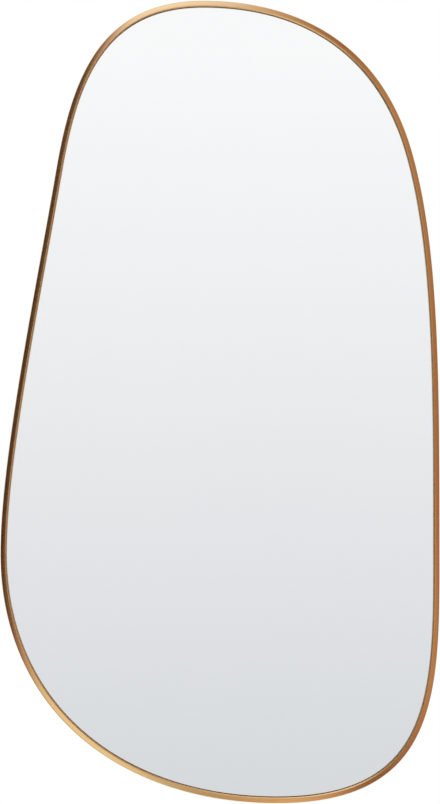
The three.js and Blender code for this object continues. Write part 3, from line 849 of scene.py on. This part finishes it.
def set_screw_mesh(length):
    """A set screw with its cup point at z = 0 and its hexagon socket at the other end."""
    r = SET_SCREW_RADIUS
    row_step = SET_SCREW_PITCH / SET_SCREW_THREAD_ROWS
    profile = [(r * share, z) for share, z in SET_SCREW_CUP]
    for z in np.arange(SET_SCREW_END, length - SET_SCREW_END, row_step):
        profile.append((r * SET_SCREW_BLANK, z))
    profile += [(r * SET_SCREW_TOP, length), (0, length)]
    low, high = SET_SCREW_THREAD_ENDS[0], length - SET_SCREW_THREAD_ENDS[1]
    ridge = thread(r * SET_SCREW_CORE, r, SET_SCREW_PITCH, low, high)
    mesh = lathe("set_screw", profile, segments=36, radius_at=ridge)
    hexagon = regular_polygon(SET_SCREW_SOCKET / math.sqrt(3), sides=6)
    floor = length - SET_SCREW_SOCKET_DEPTH
    mesh = cut(mesh, prism("hexagon", hexagon, hexagon, length + CUT_MARGIN, floor))
    unwrap_round(mesh, r)
    return mesh


def make_set_screws():
    front, back = depth_of("set_screw_1")
    body = set_screw_mesh(back - front)
    for i, distance in enumerate(SET_SCREW_PLACES):
        seat = rim_place(distance) @ Matrix.Translation((0, front, SET_SCREW_INSET)) @ TO_BACK
        mesh = body.copy()
        mesh.transform(seat @ Matrix.Rotation(SET_SCREW_TURN * i, 4, "Z"))
        name, node = f"grub_screw_{i + 1}", f"set_screw_{i + 1}"
        add_piece(name, mesh, [BLACK_STEEL], node)
    bpy.data.meshes.remove(body)


# ------------------------------------------------------------------ packet


def make_gasket():
    front, back = depth_of("glazing_gasket")
    far = FACE_WIDTH - GASKET_SETBACK
    section = rounded_box(PACKET_INSET, far, back, front, GASKET_ROUND)
    mesh = swept("gasket", section, WHOLE_RIM, True)
    add_piece("rubber_gasket", mesh, [GASKET_RUBBER], "glazing_gasket")


def make_pane():
    mesh = plate("pane", PACKET_INSET, *depth_of("mirror_glass"), GLASS_ARRIS)
    add_piece("mirror_pane", mesh, [GLASS, SILVER], "mirror_glass")


def make_film():
    front, back = depth_of("shatter_film")
    mesh = plate("film", PACKET_INSET, front, back, FILM_ARRIS_SHARE * (back - front))
    add_piece("safety_film", mesh, [FILM, FILM], "shatter_film")


def tape_mesh(low, high, seed):
    """A strip of foam tape with slightly uneven cut edges."""
    generator = np.random.default_rng(seed)
    rows = []
    for z in np.linspace(low.z, high.z, TAPE_ROWS):
        left = low.x + TAPE_WANDER * generator.random()
        right = high.x - TAPE_WANDER * generator.random()
        section = rounded_box(left, right, low.y, high.y, TAPE_ROUND, steps=2)
        rows.append([(x, y, z) for x, y in section])
    return grid_mesh("tape", rows, False)


def make_tapes():
    for i in range(TAPE_COUNT):
        node = f"mounting_tape_{i + 1}"
        mesh = tape_mesh(*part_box(node), seed=i)
        add_piece(f"foam_tape_{i + 1}", mesh, [FOAM], node)


def make_board():
    """The board, with a pilot hole under each clip screw and strap screw."""
    front, back = depth_of("backing_board")
    mesh = plate("board", PACKET_INSET, front, back, BOARD_ARRIS)
    screws = numbered("clip_screw", CLIP_COUNT)
    for side in ("left", "right"):
        screws += numbered(f"{side}_strap_screw", len(STRAP_SCREW_DROPS))
    low, high = FRONT + back - PILOT_DEPTH, FRONT + back + CUT_MARGIN
    places = [middle_of(screw) for screw in screws]
    holes = [hole(PILOT_RADIUS, low, high, (p.x, p.z), segments=20) for p in places]
    mesh = cut(mesh, joined(holes), sharp=20)
    add_piece("fibre_board", mesh, [FIBREBOARD, FIBREBOARD], "backing_board")


# ------------------------------------------------------------------ screws, clips, hangers, bumpers


def cross_recess():
    """A cutter for the cross recess, which narrows downwards."""
    a, b = RECESS_LENGTH / 2, RECESS_WIDTH / 2
    quarter = [(a, -b), (a, b), (b, b)]
    plus = []
    for _ in range(4):
        plus += quarter
        quarter = [(-y, x) for x, y in quarter]
    shorter, narrower = RECESS_FLOOR
    small = [[v * (shorter if abs(v) > b else narrower) for v in point] for point in plus]
    top = SCREW_HEAD_HEIGHT + RECESS_RISE
    return prism("cross", plus, small, top, SCREW_HEAD_HEIGHT - RECESS_DEPTH)


def screw_mesh():
    """A pan-head screw. Its head seats at z = 0 and its tip is below."""
    row_step = SCREW_PITCH / SCREW_THREAD_ROWS
    profile = [(0, -SCREW_LENGTH)]
    for z in np.arange(-SCREW_LENGTH + SCREW_POINT, -SCREW_NECK, row_step):
        taper = min(1, (z + SCREW_LENGTH) / SCREW_TIP)
        profile.append((SCREW_RADIUS * max(taper, SCREW_POINT_SHARE), z))
    profile += [(SCREW_HEAD_RADIUS * r, SCREW_HEAD_HEIGHT * z) for r, z in SCREW_HEAD_SHAPE]
    ridge = thread(SCREW_CORE, SCREW_RADIUS, SCREW_PITCH, -SCREW_LENGTH, -SCREW_THREAD_END)
    mesh = lathe("screw", profile, segments=40, radius_at=ridge)
    mesh = cut(mesh, cross_recess(), sharp=35)
    unwrap_round(mesh, SCREW_HEAD_RADIUS)
    return mesh


def place_screws(names, nodes, turns):
    """Screws whose heads reach as far back as their nodes."""
    body = screw_mesh()
    for name, node, turn in zip(names, nodes, turns):
        middle = middle_of(node)
        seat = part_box(node)[1].y - SCREW_HEAD_HEIGHT
        place = Matrix.Translation((middle.x, seat, middle.z)) @ TO_BACK
        mesh = body.copy()
        mesh.transform(place @ Matrix.Rotation(turn, 4, "Z"))
        add_piece(name, mesh, [SCREW_STEEL], node)
    bpy.data.meshes.remove(body)


def clip_mesh():
    """An offset clip: its toe lies in the rear channel and its foot on the board."""
    toe = FRAME_DEPTH - FLANGE_THICKNESS - CLIP_FLANGE_CLEARANCE - CLIP_THICKNESS / 2
    foot = depth_of("backing_board")[1] + LAYER_GAP + CLIP_THICKNESS / 2
    path = rounded([
        (CLIP_TOE_START, toe, 0),
        (CLIP_TOE_END, toe, CLIP_BEND),
        (CLIP_FOOT_START, foot, CLIP_BEND),
        (CLIP_FOOT_START + CLIP_FOOT_LENGTH, foot, 0),
    ], steps=6)
    ends = round_ends(CLIP_WIDTH, CLIP_TOE_CORNER, CLIP_FOOT_CORNER)
    mesh = ribbon("clip", finer(path), CLIP_THICKNESS, ends)
    reach = CLIP_THICKNESS / 2 + CUT_MARGIN
    return cut(mesh, hole(SCREW_HOLE, foot - reach, foot + reach, (0, CLIP_SCREW_INSET)), sharp=35)


def make_clips():
    body = clip_mesh()
    for i in range(CLIP_COUNT):
        mesh = body.copy()
        mesh.transform(rim_place((i + 0.5) / CLIP_COUNT * RIM_LENGTH))
        add_piece(f"offset_clip_{i + 1}", mesh, [ZINC], f"retaining_clip_{i + 1}")
    bpy.data.meshes.remove(body)
    nodes = numbered("clip_screw", CLIP_COUNT)
    place_screws(numbered("pan_screw", CLIP_COUNT), nodes, CLIP_SCREW_TURNS)


def ring_mesh():
    """The D-ring hanging from its bar, whose middle is the origin."""
    bend = RING_ARC - RING_CORNER
    path = arc(bend, -RING_CORNER, RING_CORNER, 0, 90, steps=12)
    path += arc(-bend, -RING_CORNER, RING_CORNER, 90, 180, steps=12)
    path += arc(0, -RING_CORNER - RING_LEG, RING_ARC, 180, 360, steps=48)
    line = np.array(path)
    along = np.roll(line, -1, 0) - np.roll(line, 1, 0)
    along /= np.linalg.norm(along, axis=1)[:, None]
    wire = regular_polygon(RING_WIRE_RADIUS, sides=24)
    rows = []
    for (x, z), (tx, tz) in zip(line, along):
        rows.append([(x - tz * a, b, z + tx * a) for a, b in wire])
    return grid_mesh("ring", rows, True)


def strap_mesh(bar_depth, flat_depth):
    """A strap screwed flat below, whose top is curled over the bar at the origin's height."""
    curl = arc(0, bar_depth, CURL_RADIUS, -90, -90 + CURL_TURN, steps=44)
    path = finer([(-STRAP_LENGTH, flat_depth), (0, flat_depth)]) + curl[1:]
    mesh = ribbon("strap", path, STRAP_THICKNESS, round_ends(STRAP_WIDTH, STRAP_CORNER, 0))
    reach = STRAP_THICKNESS / 2 + CUT_MARGIN
    low, high = flat_depth - reach, flat_depth + reach
    holes = [hole(SCREW_HOLE, low, high, (0, -drop)) for drop in STRAP_SCREW_DROPS]
    return cut(mesh, joined(holes), sharp=35)


def make_hangers():
    count = len(STRAP_SCREW_DROPS)
    for joint in frame["joints"]:
        side = joint["name"].split("_")[0]
        bar = Vector(joint["pos_m"])
        bar_depth = bar.y - FRONT

        ring = ring_mesh()
        ring.transform(Matrix.Translation(bar))
        node = f"{side}_d_ring"
        add_piece(f"{side}_wire_ring", ring, [WIRE_STEEL], node, joint["child"])

        strap = strap_mesh(bar_depth, bar_depth - CURL_RADIUS)
        strap.transform(Matrix.Translation((bar.x, FRONT, bar.z)))
        node = f"{side}_hanger_strap"
        add_piece(f"{side}_curled_strap", strap, [ZINC], node)

        names, nodes = numbered(f"{side}_pan_screw", count), numbered(f"{side}_strap_screw", count)
        place_screws(names, nodes, STRAP_SCREW_TURNS)


def make_bumpers():
    """Rubber dots, stuck on the back of the frame."""
    for i in range(BUMPER_COUNT):
        node = f"bumper_{i + 1}"
        middle = middle_of(node)
        low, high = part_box(node)
        height = high.y - low.y
        inner = BUMPER_RADIUS - BUMPER_ROUND
        foot = [(0, 0), (BUMPER_RADIUS - BUMPER_CHAMFER, 0), (BUMPER_RADIUS, BUMPER_CHAMFER)]
        top = arc(inner, height - BUMPER_ROUND, BUMPER_ROUND, 0, 90, steps=8) + [(0, height)]
        mesh = lathe("bumper", foot + top, segments=40)
        mesh.transform(Matrix.Translation((middle.x, low.y, middle.z)) @ TO_BACK)
        add_piece(f"rubber_bumper_{i + 1}", mesh, [BUMPER_RUBBER], node)


make_frame()
make_splice()
make_set_screws()
make_gasket()
make_pane()
make_film()
make_tapes()
make_board()
make_clips()
make_hangers()
make_bumpers()

# ------------------------------------------------------------------ studio

VIEW_DISTANCE = 2.6  # from the camera to the frame's face
IMAGE_HEIGHT = 804
OBJECT_PIXELS = 803.0  # height of the object in the picture
SENSOR = 36.0

FLOOR_DROP = 1.0  # from the mirror's lowest point
FLOOR_RADIUS = 1.6
FLOOR_FADE = 0.3  # where it starts to fade out, as a share of its radius

LAMP_PLACES = {"front_lamp": (-1.6, -2.4, 1.8), "back_lamp": (1.6, 2.4, 1.8)}
LAMP_AIM = (0, 0, -0.3)
LAMP_SIZE = 1.6
LAMP_POWER = 40

# The room, as reflections show it. Straight in front is its pale middle, which is all that the glass
# shows in the front view. Its colour goes from low to high between two heights of the view, and it
# reaches so far to the side and up or down. These are sines of angles. A direction counts as outside
# it gradually, while the fourth powers of its two shares of the reach add up to between ROOM_EDGE's
# two numbers. The near ring lies there.
ROOM_LOW, ROOM_HIGH = (0.715, 0.73, 0.76), (0.99, 0.985, 1.0)
ROOM_HEIGHTS = (-0.2, 0.18)
ROOM_REACH = (0.115, 0.207)
ROOM_EDGE = (1.2, 2.4)

# Softboxes, walls and flags stand in two rings round the mirror's axis. Each ring holds (azimuth,
# colour), with the azimuth in degrees from the right, anticlockwise as the viewer sees it.
NEAR_RING = [
    (-180, (0.03, 0.015, 0.01)),  # flag at the left
    (-153, (0.05, 0.02, 0.015)),
    (-146, (0.38, 0.12, 0.06)),
    (-134, (1.10, 1.18, 1.12)),  # low softbox at the left
    (-114, (1.15, 1.30, 1.32)),
    (-97, (0.38, 0.38, 0.34)),
    (-84, (1.05, 0.84, 0.66)),  # small lamp below
    (-66, (0.20, 0.08, 0.05)),
    (-48, (0.44, 0.24, 0.16)),
    (-28, (0.66, 0.42, 0.30)),
    (0, (0.42, 0.22, 0.13)),  # warm wall at the right
    (24, (0.50, 0.31, 0.23)),
    (46, (0.58, 0.37, 0.24)),
    (62, (0.34, 0.13, 0.06)),
    (76, (0.60, 0.44, 0.32)),
    (92, (1.24, 1.45, 1.85)),  # overhead softbox
    (112, (1.22, 1.45, 1.85)),
    (123, (0.47, 0.28, 0.20)),
    (132, (0.04, 0.02, 0.015)),  # flag at the left again
    (180, (0.03, 0.015, 0.01)),
]
FAR_RING = [
    (-180, (0.17, 0.13, 0.10)),
    (-150, (0.17, 0.13, 0.10)),
    (-130, (0.60, 0.62, 0.55)),
    (-105, (0.70, 0.75, 0.70)),
    (-85, (0.45, 0.38, 0.30)),
    (-60, (0.26, 0.19, 0.14)),
    (60, (0.28, 0.21, 0.16)),
    (80, (0.80, 0.85, 0.95)),
    (115, (1.00, 1.10, 1.30)),
    (135, (0.22, 0.18, 0.15)),
    (150, (0.17, 0.13, 0.10)),
    (180, (0.17, 0.13, 0.10)),
]
FAR_RING_EDGE = (26, 44)  # degrees off the axis, from the near ring to the far one

# The rest of the room is brighter above than below, with brighter and darker walls by turns.
SURROUND_EDGE = (64, 90)  # degrees off the axis
SURROUND_LOW, SURROUND_HIGH = (0.62, 0.59, 0.54), (1.15, 1.15, 1.2)
SURROUND_HEIGHTS = (-0.6, 0.6)
DARK_WALL = (0.3, 0.29, 0.28)
DARK_WALL_SHARE = 0.45  # of the dark wall's colour, where the walls are darkest
DARK_WALL_COUNT = 5

DIFFUSE_LIGHT = (0.8, 0.8, 0.8)
WHITE = (1.0, 1.0, 1.0)


def make_camera():
    low, high = cad_low, cad_high
    data = bpy.data.cameras.new("camera")
    data.sensor_width = SENSOR
    scale = OBJECT_PIXELS / (high.z - low.z)
    data.lens = SENSOR * VIEW_DISTANCE * scale / IMAGE_HEIGHT
    camera = bpy.data.objects.new("camera", data)
    camera.location = ((low.x + high.x) / 2, low.y - VIEW_DISTANCE, (low.z + high.z) / 2)
    camera.rotation_euler = (math.pi / 2, 0, 0)
    bpy.context.scene.collection.objects.link(camera)
    bpy.context.scene.camera = camera


def make_floor():
    """A pale round floor that fades out, so that it has no edge."""
    bm = bmesh.new()
    bmesh.ops.create_circle(bm, cap_ends=True, segments=96, radius=FLOOR_RADIUS)
    material, tree, shader = new_material("pale_floor")
    place = object_place(tree)
    grain = noise(tree, place, (30, 30, 30), 3, 0.6)
    tone = mixed(tree, grain, (0.84, 0.84, 0.84), (0.88, 0.88, 0.88))
    length = add(tree, "ShaderNodeVectorMath", operation="LENGTH")
    feed(tree, length.inputs[0], place)
    edge = (FLOOR_FADE * FLOOR_RADIUS, FLOOR_RADIUS)
    opacity = ranged(tree, length.outputs["Value"], 1, 0, *edge, smoothly=True)
    set_inputs(tree, shader, Base_Color=tone, Roughness=0.9, Alpha=opacity)
    floor = new_object("floor", mesh_from(bm, "floor"), material)
    floor.location = ((cad_low.x + cad_high.x) / 2, 0, cad_low.z - FLOOR_DROP)


def make_lamps():
    """Soft lamps in front and behind, which reflections don't show."""
    for name, place in LAMP_PLACES.items():
        data = bpy.data.lights.new(name, "AREA")
        data.shape = "DISK"
        data.size = LAMP_SIZE
        data.energy = LAMP_POWER
        lamp = bpy.data.objects.new(name, data)
        lamp.location = place
        lamp.rotation_euler = (Vector(LAMP_AIM) - Vector(place)).to_track_quat("-Z", "Y").to_euler()
        lamp.visible_glossy = False
        lamp.visible_transmission = False
        bpy.context.scene.collection.objects.link(lamp)


def ring_colour(tree, azimuth, stops):
    """The colour of a ring at an azimuth, which goes from 0 to 1 round it."""
    ramp = tree.nodes.new("ShaderNodeValToRGB")
    ramp.color_ramp.interpolation = "EASE"
    elements = ramp.color_ramp.elements
    elements.remove(elements[1])
    for angle, colour in stops[1:]:
        elements.new((angle + 180) / 360)
    for element, (angle, colour) in zip(elements, stops):
        element.position = (angle + 180) / 360
        element.color = (*colour, 1)
    feed(tree, ramp.inputs["Fac"], azimuth)
    return ramp.outputs["Color"]


def risen(tree, value, start, end):
    """Goes smoothly from 0 to 1 while a value goes from start to end."""
    return ranged(tree, value, 0, 1, start, end, smoothly=True)


def reflected_colour(tree, x, y, z, room):
    """The room's middle, the two rings and the surround, by the direction (x, y, z)."""
    azimuth = ranged(tree, maths(tree, "ARCTAN2", z, x), 0, 1, -math.pi, math.pi)
    off_axis = maths(tree, "ARCCOSINE", maths(tree, "MULTIPLY", y, -1.0))

    sideways = maths(tree, "POWER", maths(tree, "DIVIDE", x, ROOM_REACH[0]), 4)
    upright = maths(tree, "POWER", maths(tree, "DIVIDE", z, ROOM_REACH[1]), 4)
    outside = risen(tree, maths(tree, "ADD", sideways, upright), *ROOM_EDGE)
    outside = maths(tree, "MAXIMUM", outside, maths(tree, "GREATER_THAN", y, 0))
    colour = mixed(tree, outside, room, ring_colour(tree, azimuth, NEAR_RING))

    outside = risen(tree, off_axis, *map(math.radians, FAR_RING_EDGE))
    colour = mixed(tree, outside, colour, ring_colour(tree, azimuth, FAR_RING))

    surround = mixed(tree, risen(tree, z, *SURROUND_HEIGHTS), SURROUND_LOW, SURROUND_HIGH)
    walls = maths(tree, "MULTIPLY", maths(tree, "ARCTAN2", y, x), DARK_WALL_COUNT)
    darkness = ranged(tree, maths(tree, "SINE", walls), 0, DARK_WALL_SHARE, -1.0, 1.0)
    surround = mixed(tree, darkness, surround, DARK_WALL)
    outside = risen(tree, off_axis, *map(math.radians, SURROUND_EDGE))
    return mixed(tree, outside, colour, surround)


def make_world():
    """A white surround for the camera and a soft room with softboxes and flags for the reflections."""
    world = bpy.data.worlds.new("studio")
    bpy.context.scene.world = world
    world.use_nodes = True
    world.cycles.sampling_method = "NONE"
    tree = world.node_tree
    path = add(tree, "ShaderNodeLightPath")
    view = add(tree, "ShaderNodeTexCoord").outputs["Generated"]
    parts = add(tree, "ShaderNodeSeparateXYZ", Vector=view)
    x, y, z = (parts.outputs[axis] for axis in "XYZ")
    room = mixed(tree, ranged(tree, z, 0, 1, *ROOM_HEIGHTS), ROOM_LOW, ROOM_HIGH)
    reflected = reflected_colour(tree, x, y, z, room)
    colour = mixed(tree, path.outputs["Is Glossy Ray"], DIFFUSE_LIGHT, reflected)
    # light that has been through the pane comes from the pale middle of the room, from any side
    colour = mixed(tree, path.outputs["Is Transmission Ray"], colour, room)
    colour = mixed(tree, path.outputs["Is Camera Ray"], colour, WHITE)
    feed(tree, tree.nodes["Background"].inputs["Color"], colour)


make_camera()
make_floor()
make_lamps()
make_world()

bpy.context.scene.view_settings.view_transform = "Standard"
